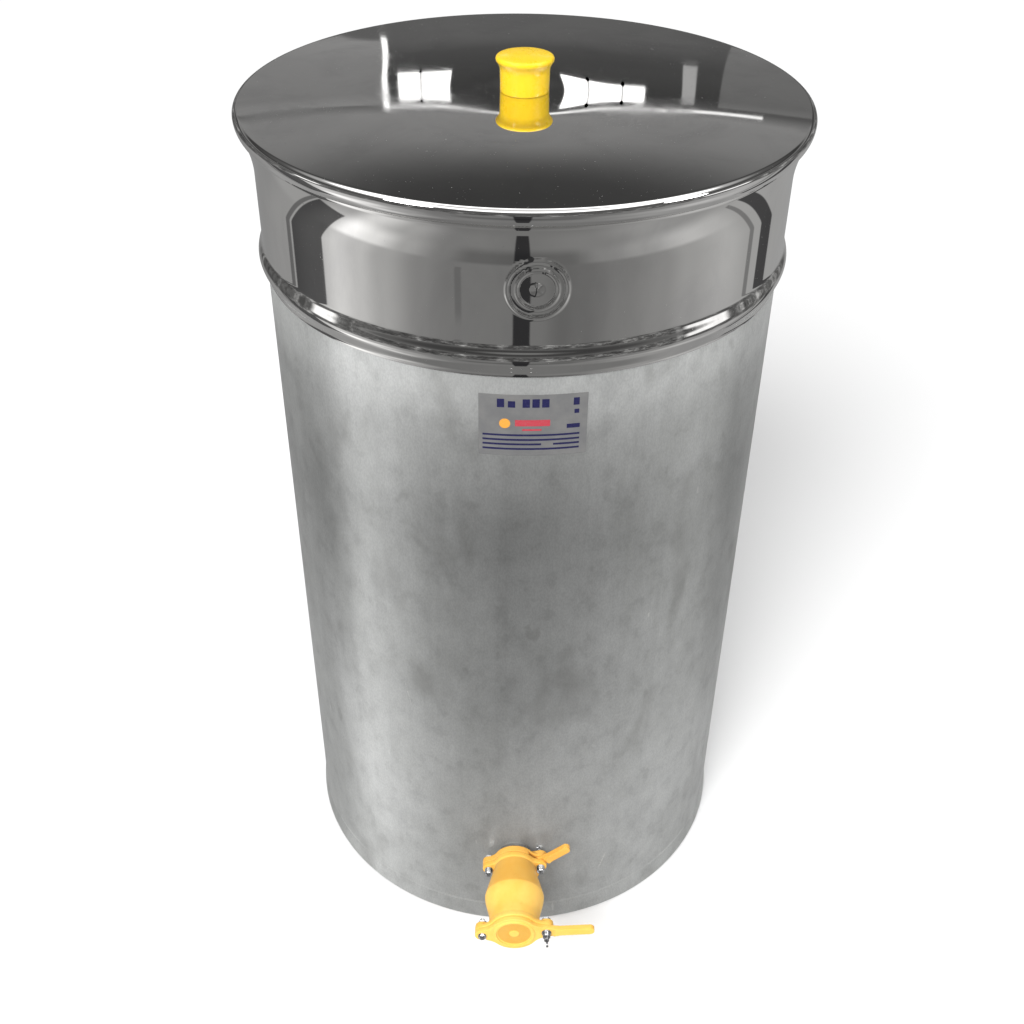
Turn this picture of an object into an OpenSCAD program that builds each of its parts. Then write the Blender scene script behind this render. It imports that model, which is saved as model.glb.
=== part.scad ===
// Honey settling tank with a polished collar, a lift-off lid and a double gate valve.
// The tank axis is Z, the floor is z = 0 and the valve points along -Y.

/* [Tank] */
// Outside radius of the tank wall
tank_r = 240; // [236:1:244]
// Thickness of the sheet steel
sheet_t = 1; // [0.8:0.1:1.2]
// Height of the pressed bottom pan, up to its weld
pan_h = 25; // [18:1:40]
// How far the pan swells past the wall at the floor
pan_swell = 2.3; // [1:0.1:3]
// Top edge of the plain wall, inside the collar
wall_top = 722; // [718:1:726]

/* [Collar] */
// Lower edge of the collar, lapped over the wall
collar_z = 714; // [710:1:716]
// Outside radius of the collar's straight band
collar_r = 242.2; // [241.8:0.1:242.6]
// Height of the middle of the swaged bead
swage_z = 729.6; // [729:0.2:731]
// Height of the swaged bead out of the band
swage_h = 4.9; // [3:0.1:6]
// Height where the flare starts
flare_z = 806; // [800:1:808]
// Radius of the flare's curve
flare_r = 101.4; // [98:0.2:106]
// Height where the flare ends and the lip starts
lip_z = 845; // [844:0.5:846]
// Highest point of the lip, which the lid rests on
lip_top = 860.7; // [859:0.1:860.8]
// Radius of the round embossed badge
badge_r = 26; // [18:1:30]
// Height of the middle of the badge
badge_z = 792; // [788:1:796]
// Angle of the badge to the right of the valve
badge_angle = 2.5; // [-10:0.5:10]

/* [Lid] */
// Height of the lid's middle
lid_z = 864.4; // [864.4:0.2:868]
// Outside radius of the lid's rolled edge
lid_r = 255.6; // [255.4:0.1:256]
// Lower edge of the lid's skirt
skirt_z = 846.8; // [846.5:0.1:850]

/* [Knob] */
// Radius of the knob's neck
knob_r = 22; // [18:0.5:24]
// Radius of the knob's flared top
knob_top_r = 25.8; // [25:0.1:30]
// Height of the knob
knob_h = 32; // [31:0.5:36]

/* [Valve] */
// Height of the valve's axis above the floor
valve_z = 116; // [110:1:150]
// Roll of the whole valve on its thread, right side up
valve_roll = 5.5; // [0:0.5:10]
// Distance from the tank wall to the face of the front gate
valve_len = 103; // [102.5:0.5:105]
// Radius of the bore at the tank end
bore_r = 13.5; // [12:0.5:14]
// Radius of the bore at the mouth
mouth_r = 18.3; // [17:0.1:19]
// Thickness of the body's front flange
flange_t = 4.5; // [4:0.1:4.8]
// Thickness of the front gate's blade
blade_t = 4.4; // [4:0.1:4.5]
// Thickness of the body's rear flange
rear_flange_t = 5.6; // [5:0.1:5.8]
// Thickness of the rear gate's blade
rear_blade_t = 3.8; // [3.5:0.1:4]
// Sliding clearance on each side of a gate blade
slide_gap = 0.1; // [0.05:0.05:0.15]
// Half the bolt spacing of the front gate
front_half = 33; // [32:0.5:34]
// Half the bolt spacing of the rear gate
rear_half = 28; // [28:0.25:29]
// How far the rear gate's lever is lifted from closed
rear_open = 36; // [0:1:40]

/* [Fasteners] */
// Radius of the bolts
bolt_r = 2.5; // [2.3:0.1:2.5]
// Radial running clearance of a blade on its pivot bolt
pivot_gap = 0.05; // [0.03:0.01:0.08]

/* [Hidden] */
$fn = 96;

steel = [0.66, 0.67, 0.68];
mirror_steel = [0.82, 0.83, 0.84];
bolt_steel = [0.75, 0.76, 0.78];
valve_yellow = [0.96, 0.76, 0.25];
knob_yellow = [0.98, 0.84, 0.20];
rubber_black = [0.12, 0.12, 0.12];
label_grey = [0.55, 0.57, 0.62];

// Nipple, gasket and seat hub, measured out from the tank wall
nipple_r = 15.5;
nipple_start = -12;
nipple_end = 9.5;
shoulder_r = 16.5;
shoulder_end = 3.1;
gasket_r = 16.9;
hub_start = 4.5;
hub_r = 18.3;
seat_plate_t = 2.9;
ear_boss_r = 7;

// Valve faces, measured out from the tank wall
ring_h = 1.2;
front_blade = valve_len - ring_h - blade_t;
front_flange = front_blade - slide_gap - flange_t;
front_boss = front_flange - 3.5;
rear_flange_face = valve_len - 83;
rear_flange = rear_flange_face - rear_flange_t;
rear_blade = rear_flange - slide_gap - rear_blade_t;
seat_face = rear_blade - slide_gap;
seat_plate = seat_face - seat_plate_t;
ear_back = seat_face - 7.4;

// Outlines of the two gates
front_disc_r = 24.5;
front_flange_r = 26.5;
front_ear_r = 7.5;
front_web = 20;
ring_r = 20.8;
recess_depth = 2;
rear_disc_r = 19.8;
rear_flange_r = 22.3;
rear_ear_r = 6.5;
rear_web = 14;
front_lever_tip = 82;
rear_lever_tip = 67.5;
blend_gap = 0.05;
lever_half = 4.8;
rear_lever_half = 4.4;
rear_lever_t = 6.4;
rim_end = 16.2;

// Valve body
body_max_r = 31;
body_max_s = valve_len - 45.5;
body_neck_r = 26;
body_neck_s = valve_len - 19;
body_rear_r = 21;
body_wall = 3.2;

// Fasteners
nut_h = 3.5;
nut_r = 4.6;
dome_r = 4.2;
washer_r = 5;
washer_t = 0.8;
wing_hub_r = 4.4;
wing_t = 2;

// Tangent arc from angle a0 to a1 about a centre
function arc(cx, cy, r, a0, a1, n) =
    [for (i = [0:n]) let (a = a0 + (a1 - a0) * i / n) [cx + r * cos(a), cy + r * sin(a)]];

// Step from 0 to 1 with level ends
function ease(t) = t * t * (3 - 2 * t);

// Unit normal to the left of an outline at point i
function left_normal(p, i) =
    let (a = p[max(i - 1, 0)], b = p[min(i + 1, len(p) - 1)], d = b - a)
    [-d[1], d[0]] / norm(d);

// Closed section of a sheet of thickness t to the left of an outline
function sheet(p, t) =
    concat(p, [for (i = [len(p) - 1:-1:0]) p[i] + t * left_normal(p, i)]);

// Outside radius of the collar, by height
function lap_r(z) = tank_r + 0.1 + sheet_t + (collar_r - tank_r - 0.1 - sheet_t) * ease(min(1, (z - collar_z) / 31));
function swage(z) = abs(z - swage_z) < 15.4 ? swage_h * pow(cos(90 * (z - swage_z) / 15.4), 2) : 0;
function flare(z) = flare_r - sqrt(flare_r * flare_r - pow(z - flare_z, 2));
lip_r = collar_r + flare(lip_z);

// Pan outline, from the weld down to the middle of the floor
pan_line = concat(
    [for (i = [0:6]) let (z = pan_h - (pan_h - 4) * i / 6)
        [tank_r + pan_swell * (1 - pow(z / pan_h, 2)), z]],
    arc(tank_r + pan_swell - 4, 4, 4, -12, -90, 5),
    [[0, 0]]
);

// Collar outline, from the lap up to the lip that curls inwards
collar_line = concat(
    [for (i = [0:18]) let (z = collar_z + (swage_z + 16 - collar_z) * i / 18) [lap_r(z) + swage(z), z]],
    [for (i = [0:8]) let (z = flare_z + (lip_z - flare_z) * i / 8) [collar_r + flare(z), z]],
    arc(lip_r - 3, lip_top - 3, 3, 0, 150, 8)
);

// Lid outline, from the screw hole over a low dome to the rolled edge and down the skirt
lid_hole_r = 3.2;
dome_drop = 2.6;
edge_r = 5;
edge_in = lid_r - edge_r;
edge_z = lid_z - dome_drop - edge_r;
skirt_r = 14.5;
lid_line = concat(
    [for (i = [0:8]) let (r = lid_hole_r + (edge_in - lid_hole_r) * i / 8) [r, lid_z - dome_drop * pow(r / edge_in, 2)]],
    arc(edge_in, edge_z, edge_r, 84, 0, 10),
    arc(lid_r - skirt_r, edge_z, skirt_r, -4, -asin((edge_z - skirt_z) / skirt_r), 5)
);

// Places a child on the valve's axis, s millimetres out from the wall
module at_valve(s) {
    translate([0, -tank_r, valve_z])
        rotate([90, 0, 0])
            rotate([0, 0, valve_roll])
                translate([0, 0, s])
                    children();
}

// Concave web of radius web_r that blends a disc into an ear to its right
module blend_web(disc_r, ear_r, half, web_r) {
    x = (half * half + pow(disc_r + web_r, 2) - pow(ear_r + web_r, 2)) / (2 * half);
    y = sqrt(pow(disc_r + web_r, 2) - x * x);
    for (side = [-1, 1])
        difference() {
            polygon([[0, 0], [x, side * y], [half, 0]]);
            translate([x, side * y]) circle(r = web_r + blend_gap);
        }
}

// Disc with an ear on each side
module eared_outline(disc_r, ear_r, half, web_r) {
    circle(r = disc_r);
    for (side = [0, 1]) mirror([side, 0]) {
        translate([half, 0]) circle(r = ear_r);
        blend_web(disc_r, ear_r, half, web_r);
    }
}

// Lever that leaves the right ear and ends in a round tip
module lever_outline(half, ear_r, tip, width) {
    bar = width - blend_gap;
    root = ear_r - blend_gap;
    translate([tip - width, 0]) circle(r = width);
    polygon([
        [half, root],
        [half + ear_r + 7, bar],
        [tip - width, bar],
        [tip - width, -bar],
        [half + ear_r + 7, -bar],
        [half, -root]
    ]);
}

// Slot that lets the left ear swing up off its bolt, about the pivot on the right
module catch_slot(half, width, depth) {
    difference() {
        translate([half, 0, -1]) cylinder(r = 2 * half + width, h = depth);
        translate([half, 0, -2]) cylinder(r = 2 * half - width, h = depth + 2);
        translate([-half + 2 * width, -3 * half, -3]) cube([6 * half, 6 * half, depth + 4]);
        translate([-6 * half, 0, -3]) cube([12 * half, 6 * half, depth + 4]);
    }
    translate([-half, 0, -1]) cylinder(r = width, h = depth);
}

// Bolt: hexagon head below s = 0, shank above
module hex_bolt(length) {
    translate([0, 0, -nut_h]) cylinder(r = nut_r, h = nut_h, $fn = 6);
    cylinder(r = bolt_r, h = length);
}

// Bolt: domed round head above s = 0, shank below
module domed_bolt(head, length) {
    cylinder(r = dome_r, h = head - dome_r * 0.6);
    translate([0, 0, head - dome_r]) intersection() {
        sphere(r = dome_r + 0.1);
        cylinder(r = dome_r - 0.1, h = dome_r + 1);
    }
    translate([0, 0, -length]) cylinder(r = bolt_r, h = length + 0.5);
}

// Hexagon nut with a plain bore
module hex_nut() {
    difference() {
        cylinder(r = nut_r, h = nut_h, $fn = 6);
        translate([0, 0, -1]) cylinder(r = bolt_r + pivot_gap, h = nut_h + 2);
    }
}

// Flat ring round a bolt or a pipe
module ring(outer, inner, height) {
    difference() {
        cylinder(r = outer, h = height);
        translate([0, 0, -1]) cylinder(r = inner, h = height + 2);
    }
}

// Wing nut: round hub with two upright wings
module wing_nut(hub_h, wing_h, span) {
    tip_r = min(2.6, wing_h / 2 - 0.3);
    difference() {
        union() {
            cylinder(r1 = wing_hub_r, r2 = wing_hub_r - 0.6, h = hub_h);
            for (side = [-1, 1])
                rotate([90, 0, 0])
                    translate([0, 0, -wing_t / 2])
                        linear_extrude(wing_t) {
                            translate([side * (span - tip_r), wing_h - tip_r]) circle(r = tip_r);
                            polygon([
                                [side * 2, 0.6],
                                [side * wing_hub_r, 0.6],
                                [side * span, wing_h - tip_r],
                                [side * (span - 2 * tip_r), wing_h - tip_r],
                                [side * 2, hub_h]
                            ]);
                        }
        }
        translate([0, 0, -1]) cylinder(r = bolt_r + pivot_gap, h = wing_h + 2);
    }
}

module tank_shell() {
    color(steel) difference() {
        rotate_extrude() translate([tank_r - sheet_t, pan_h]) square([sheet_t, wall_top - pan_h]);
        at_valve(-20) cylinder(r = shoulder_r + 0.05, h = 40);
    }
}

module tank_bottom() {
    color(steel) rotate_extrude() polygon(sheet(pan_line, -sheet_t));
}

module top_collar() {
    badge_face = collar_r + 1.2;
    color(mirror_steel) {
        rotate_extrude() polygon(sheet(collar_line, sheet_t));
        rotate([0, 0, badge_angle]) intersection() {
            rotate_extrude()
                translate([collar_r - 0.6, badge_z - badge_r - 2])
                    square([badge_face - collar_r + 0.6, 2 * badge_r + 4]);
            translate([0, -collar_r + 10, badge_z]) rotate([90, 0, 0]) {
                ring(badge_r, badge_r - 3, 30);
                ring(badge_r * 0.66, badge_r * 0.66 - 2, 30);
                cylinder(r = badge_r * 0.26, h = 30);
            }
        }
    }
}

module capacity_label() {
    label_w = 90;
    label_h = 59;
    color(label_grey) rotate([0, 0, 2.3]) intersection() {
        rotate_extrude() translate([tank_r + 0.02, 638]) square([0.2, label_h]);
        translate([-label_w / 2, -tank_r - 5, 600]) cube([label_w, 20, 120]);
    }
}

module lid() {
    color(mirror_steel) rotate_extrude() polygon(sheet(lid_line, -sheet_t));
}

module lid_knob() {
    dome_r = 130;
    rim_z = 28;
    rim_r = 2.6;
    rim_in = knob_top_r - rim_r;
    color(knob_yellow) translate([0, 0, lid_z]) difference() {
        rotate_extrude() polygon(concat(
            [[0, 0], [knob_r - 1, 0], [knob_r - 0.4, 0.6]],
            [for (i = [0:6]) let (t = i / 6) [knob_r - 0.3 + 0.3 * t, 1 + (18 - 1) * t]],
            [for (i = [1:6]) let (t = i / 6) [knob_r + (knob_top_r - 0.3 - knob_r) * t * t, 18 + (rim_z - 1.5 - 18) * t]],
            arc(rim_in, rim_z, rim_r, -20, 78, 6),
            [for (i = [1:4]) let (r = rim_in * (1 - i / 4))
                [r, rim_z + rim_r + (knob_h - rim_z - rim_r) * (1 - pow(r / rim_in, 2))]]
        ));
        translate([0, 0, -1]) cylinder(r = 3.02, h = 19);
    }
}

module knob_washer() {
    color(bolt_steel) translate([0, 0, lid_z - sheet_t - 0.05 - 1.5]) ring(9, 3.2, 1.5);
}

module knob_screw() {
    under = lid_z - sheet_t - 0.1 - 1.5;
    color(bolt_steel) translate([0, 0, under]) {
        translate([0, 0, -4]) cylinder(r = 5.6, h = 4, $fn = 6);
        cylinder(r = 3, h = 17);
    }
}

module outlet_nipple() {
    color(steel) at_valve(0) difference() {
        union() {
            translate([0, 0, nipple_start]) cylinder(r = shoulder_r, h = shoulder_end - nipple_start);
            cylinder(r = nipple_r, h = nipple_end);
        }
        translate([0, 0, nipple_start - 1]) cylinder(r = bore_r, h = 40);
    }
}

module outlet_gasket() {
    color(rubber_black) at_valve(shoulder_end + 0.02)
        ring(gasket_r, nipple_r + 0.05, hub_start - shoulder_end - 0.04);
}

// Everything the rear blade passes through as it opens downwards
module rear_sweep(height) {
    cylinder(r = rear_disc_r + 0.3, h = height);
    translate([rim_end, -60, 0]) cube([80, 120, height]);
    difference() {
        translate([rear_half, 0, 0]) cylinder(r = rear_half + rear_disc_r + 0.3, h = height);
        translate([-80, 0, -1]) cube([160, 80, height + 2]);
    }
}

// Seat screwed on the nipple: hub, plate, pivot ear, and a rim and ear that stop the closed blade
module seat_flange() {
    color(valve_yellow) at_valve(0) difference() {
        union() {
            translate([0, 0, hub_start]) cylinder(r = hub_r, h = seat_face - hub_start);
            translate([0, 0, seat_plate]) linear_extrude(seat_plate_t)
                eared_outline(rear_flange_r, rear_ear_r, rear_half, rear_web);
            translate([rear_half, 0, ear_back]) cylinder(r = ear_boss_r, h = seat_face - ear_back);
            translate([gasket_r + 0.3, -6, ear_back + 0.3])
                cube([rear_half - gasket_r - 0.3, 12.4, seat_face - ear_back - 1]);
            difference() {
                translate([0, 0, seat_face - 1]) linear_extrude(rear_flange - seat_face + 1)
                    eared_outline(rear_flange_r, rear_ear_r, rear_half, rear_web);
                translate([rim_end, -60, seat_face - 2]) cube([80, 120, 40]);
                translate([0, 0, seat_face]) rear_sweep(40);
            }
        }
        translate([0, 0, hub_start - 1]) cylinder(r = nipple_r + 0.05, h = nipple_end - hub_start + 1.05);
        cylinder(r = bore_r, h = 60);
        for (side = [-1, 1])
            translate([side * rear_half, 0, 0]) cylinder(r = bolt_r + 0.1, h = 40);
    }
}

// Outside radius of the valve body at s: a cone out to the crease, then in to the neck
function body_r(s) =
    s < body_max_s
        ? body_rear_r + (body_max_r - body_rear_r) * (s - rear_flange_face) / (body_max_s - rear_flange_face)
        : body_neck_r + (body_max_r - body_neck_r) * (1 - ease(min(1, (s - body_max_s) / (body_neck_s - body_max_s))));

module valve_body() {
    steps = 10;
    bulge = [for (i = [0:steps]) let (s = body_max_s + (front_flange - body_max_s) * i / steps) [body_r(s), s]];
    color(valve_yellow) at_valve(0) difference() {
        union() {
            rotate_extrude() polygon(concat(
                [[0, rear_flange_face - 0.5], [body_rear_r, rear_flange_face - 0.5]],
                [[body_rear_r, rear_flange_face], [body_r(body_max_s - 3) + 0.1, body_max_s - 3]],
                bulge,
                [[0, front_flange]]
            ));
            translate([0, 0, rear_flange]) linear_extrude(rear_flange_t)
                eared_outline(rear_flange_r, rear_ear_r, rear_half, rear_web);
            translate([0, 0, front_flange]) linear_extrude(flange_t)
                eared_outline(front_flange_r, front_ear_r, front_half, front_web);
            for (side = [-1, 1])
                translate([side * front_half, 0, front_boss]) cylinder(r = front_ear_r - 0.3, h = 4);
        }
        translate([0, 0, rear_flange - 1]) cylinder(r = bore_r, h = rear_flange_t);
        rotate_extrude() polygon([
            [0, rear_flange_face - 3],
            [bore_r, rear_flange_face - 3],
            [body_max_r - body_wall, body_max_s],
            [mouth_r, front_flange - 6],
            [0, front_flange - 6]
        ]);
        translate([0, 0, front_flange - 7]) cylinder(r = mouth_r, h = 20);
        for (side = [-1, 1]) {
            translate([side * rear_half, 0, rear_flange - 1]) cylinder(r = bolt_r + 0.1, h = rear_flange_t + 2);
            translate([side * front_half, 0, front_boss - 1]) cylinder(r = bolt_r + 0.1, h = flange_t + 6);
        }
    }
}

// Front blade: eared plate, lever, ring round a shallow well, catch slot opening downwards
module front_gate_blade() {
    well_floor = blade_t + ring_h - recess_depth;
    color(valve_yellow) at_valve(front_blade) {
        difference() {
            union() {
                linear_extrude(blade_t)
                    eared_outline(front_disc_r, front_ear_r, front_half, front_web);
                linear_extrude(blade_t + ring_h - 0.2)
                    lever_outline(front_half, front_ear_r, front_lever_tip, lever_half);
                translate([front_half, 0, 0]) cylinder(r = front_ear_r - 0.1, h = blade_t);
                translate([0, 0, blade_t]) cylinder(r1 = ring_r + 0.8, r2 = ring_r, h = ring_h);
            }
            translate([0, 0, well_floor]) cylinder(r = mouth_r, h = recess_depth + 1);
            translate([front_half, 0, blade_t]) cylinder(r = front_ear_r + 1.5, h = 5);
            translate([front_half, 0, -1]) cylinder(r = bolt_r + pivot_gap, h = blade_t + 2);
            catch_slot(front_half, bolt_r + 0.35, blade_t + 3);
        }
        translate([0, 0, well_floor - 0.1]) cylinder(r = 5, h = 0.8);
    }
}

// Rear blade: plain disc with a pivot ear and a thicker lever, standing part open
module rear_gate_blade() {
    lever_root = rear_half + rear_ear_r + 0.8;
    color(valve_yellow) at_valve(rear_blade)
        translate([rear_half, 0, 0]) rotate([0, 0, rear_open]) translate([-rear_half, 0, 0])
            difference() {
                union() {
                    cylinder(r = rear_disc_r, h = rear_blade_t);
                    linear_extrude(rear_blade_t) blend_web(rear_disc_r, rear_ear_r, rear_half, rear_web);
                    translate([rear_half, 0, 0]) cylinder(r = rear_ear_r, h = rear_blade_t);
                    linear_extrude(rear_lever_t)
                        lever_outline(rear_half, rear_ear_r, rear_lever_tip, rear_lever_half);
                }
                translate([lever_root - 80, -40, rear_blade_t]) cube([80, 80, 10]);
                translate([rear_half, 0, -10]) cylinder(r = bolt_r + pivot_gap, h = 30);
            }
}

module rear_pivot_bolt() {
    color(bolt_steel) at_valve(rear_flange_face + 0.05) translate([rear_half, 0, 0])
        domed_bolt(8.5, rear_flange_face + 0.4);
}

module rear_catch_bolt() {
    color(bolt_steel) at_valve(rear_flange_face + 0.05) translate([-rear_half, 0, 0])
        domed_bolt(8.5, rear_flange_face - seat_plate + nut_h + 0.8);
}

module rear_catch_nut() {
    color(bolt_steel) at_valve(seat_plate - 0.05 - nut_h) translate([-rear_half, 0, 0]) hex_nut();
}

module rear_pivot_washer() {
    color(bolt_steel) at_valve(ear_back - 0.05 - 0.6) translate([rear_half, 0, 0])
        ring(washer_r, bolt_r + 0.1, 0.6);
}

module rear_wing_nut() {
    color(bolt_steel) at_valve(ear_back - 0.75) translate([rear_half, 0, 0])
        rotate([0, 180, 107]) wing_nut(2.3, 2.6, 9.3);
}

// The front pivot bolt has its head behind the body's flange, the catch bolt has it in front
module front_pivot_bolt() {
    color(bolt_steel) at_valve(front_boss - 0.05) translate([front_half, 0, 0])
        hex_bolt(front_blade + blade_t + 9.5 - front_boss);
}

module front_catch_bolt() {
    color(bolt_steel) at_valve(front_blade + blade_t + slide_gap) translate([-front_half, 0, 0])
        domed_bolt(4.2, front_blade + blade_t - front_boss + nut_h + 3);
}

module front_catch_nut() {
    color(bolt_steel) at_valve(front_boss - 0.05 - nut_h) translate([-front_half, 0, 0]) hex_nut();
}

module front_pivot_washer() {
    color(bolt_steel) at_valve(front_blade + blade_t + slide_gap) translate([front_half, 0, 0])
        ring(washer_r, bolt_r + 0.1, washer_t);
}

module front_wing_nut() {
    color(bolt_steel) at_valve(front_blade + blade_t + slide_gap + washer_t + 0.1)
        translate([front_half, 0, 0]) rotate([0, 0, 90]) wing_nut(4.5, 10, 11);
}

tank_shell();
tank_bottom();
top_collar();
capacity_label();
lid();
lid_knob();
knob_washer();
knob_screw();
outlet_nipple();
outlet_gasket();
seat_flange();
valve_body();
rear_gate_blade();
front_gate_blade();
rear_pivot_bolt();
rear_catch_bolt();
rear_catch_nut();
rear_pivot_washer();
rear_wing_nut();
front_pivot_bolt();
front_catch_bolt();
front_catch_nut();
front_pivot_washer();
front_wing_nut();
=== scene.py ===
import math

import bpy
import numpy as np
from mathutils import Matrix


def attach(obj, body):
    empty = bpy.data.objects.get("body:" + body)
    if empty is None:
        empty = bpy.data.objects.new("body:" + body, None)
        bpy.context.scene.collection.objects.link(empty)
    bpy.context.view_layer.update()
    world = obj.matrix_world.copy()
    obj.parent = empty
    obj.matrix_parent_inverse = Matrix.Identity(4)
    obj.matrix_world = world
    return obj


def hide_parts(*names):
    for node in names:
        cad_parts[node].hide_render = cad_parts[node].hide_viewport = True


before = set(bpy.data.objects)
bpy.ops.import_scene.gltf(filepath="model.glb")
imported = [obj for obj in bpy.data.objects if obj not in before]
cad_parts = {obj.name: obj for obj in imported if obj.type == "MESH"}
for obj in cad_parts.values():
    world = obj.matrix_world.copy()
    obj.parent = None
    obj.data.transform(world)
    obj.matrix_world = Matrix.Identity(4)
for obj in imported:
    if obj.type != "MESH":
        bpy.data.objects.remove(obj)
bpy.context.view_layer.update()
scene = bpy.context.scene
scene.view_settings.view_transform = "Standard"
mm = 0.001
print("frame loaded:", len(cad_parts), "CAD nodes")

cameraSet = {
    "place": (-0.00669, -1.11414, 1.23164),
    "right": (0.999939, 0.006843, 0.008663),
    "up": (-0.011036, 0.598498, 0.801048),
    "forward": (-0.000296, 0.801095, -0.598537),
    "lens": 44.25,
}


def placeCamera(settings):
    # the camera's own X, Y and Z are right, up and minus forward
    data = bpy.data.cameras.new("mainCamera")
    data.lens = settings["lens"]
    data.sensor_width = 36
    data.clip_start = 0.05
    data.clip_end = 100
    camera = bpy.data.objects.new("mainCamera", data)
    scene.collection.objects.link(camera)
    columns = [settings["right"], settings["up"], [-v for v in settings["forward"]]]
    turn = Matrix([[columns[c][r] for c in range(3)] for r in range(3)]).to_4x4()
    camera.matrix_world = Matrix.Translation(settings["place"]) @ turn
    scene.camera = camera


def addNode(tree, kind, **inputs):
    # a node with its inputs set from values or linked from sockets; in0, in1 mean an input by number
    node = tree.nodes.new(kind)
    for key, value in inputs.items():
        socket = node.inputs[int(key[2:])] if key[:2] == "in" and key[2:].isdigit() else node.inputs[key]
        if isinstance(value, bpy.types.NodeSocket):
            tree.links.new(value, socket)
        else:
            socket.default_value = value
    return node


def mathNode(tree, operation, a, b=0.0, clamp=False):
    # the result of one sum on a and b, held between 0 and 1 if clamp is set
    node = addNode(tree, "ShaderNodeMath", in0=a, in1=b)
    node.operation = operation
    node.use_clamp = clamp
    return node.outputs[0]


def rampNode(tree, value, stops):
    # grey by position, eased between stops; a stop is (position, grey)
    node = addNode(tree, "ShaderNodeValToRGB", in0=value)
    ramp = node.color_ramp
    ramp.interpolation = "EASE"
    while len(ramp.elements) < len(stops):
        ramp.elements.new(0.5)
    for element, (position, tone) in zip(ramp.elements, stops):
        element.position = position
        element.color = (tone, tone, tone, 1)
    return node.outputs[0]


def noiseNode(tree, place, scale, detail, rough, distort=0.0):
    # cloudy grey from 0 to 1, mostly near 0.5; scale is in waves per metre
    node = addNode(tree, "ShaderNodeTexNoise", Vector=place, Scale=scale, Detail=detail,
                   Roughness=rough, Distortion=distort)
    return node.outputs["Fac"]


def stretched(tree, place, size, turn=(0, 0, 0)):
    # place turned and then scaled, so a pattern read there is drawn out where size is small
    return addNode(tree, "ShaderNodeMapping", Vector=place, Scale=size, Rotation=turn).outputs[0]


def mixColour(tree, factor, a, b, blend="MIX"):
    # b laid over a by factor; the mix node's colour inputs are numbers 6 and 7
    node = tree.nodes.new("ShaderNodeMix")
    node.data_type = "RGBA"
    node.blend_type = blend
    for number, value in ((0, factor), (6, a), (7, b)):
        socket = node.inputs[number]
        if isinstance(value, bpy.types.NodeSocket):
            tree.links.new(value, socket)
        else:
            socket.default_value = (*value, 1) if number else value
    return node.outputs[2]


def newFinish(name, **values):
    # a Principled material; returns material, tree, shader and the object coordinates
    material = bpy.data.materials.new(name)
    material.use_nodes = True
    tree = material.node_tree
    shader = next(n for n in tree.nodes if n.type == "BSDF_PRINCIPLED")
    for key, value in values.items():
        shader.inputs[key].default_value = value
    place = tree.nodes.new("ShaderNodeTexCoord").outputs["Object"]
    return material, tree, shader, place


def addBump(tree, shader, height, strength, distance):
    # fine relief; distance is its full height in metres
    bump = addNode(tree, "ShaderNodeBump", Strength=strength, Distance=distance, Height=height)
    tree.links.new(bump.outputs[0], shader.inputs["Normal"])


def stepNode(tree, value, start, stop):
    # 0 before start, 1 after stop, eased between them
    node = addNode(tree, "ShaderNodeMapRange", in0=value, in1=start, in2=stop, in3=0.0, in4=1.0)
    node.interpolation_type = "SMOOTHSTEP"
    return node.outputs[0]


def spanNode(tree, value, low, high):
    # a noise's middle range, 0.3 to 0.7, carried onto low to high
    return addNode(tree, "ShaderNodeMapRange", in0=value, in1=0.3, in2=0.7, in3=low, in4=high).outputs[0]


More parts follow.
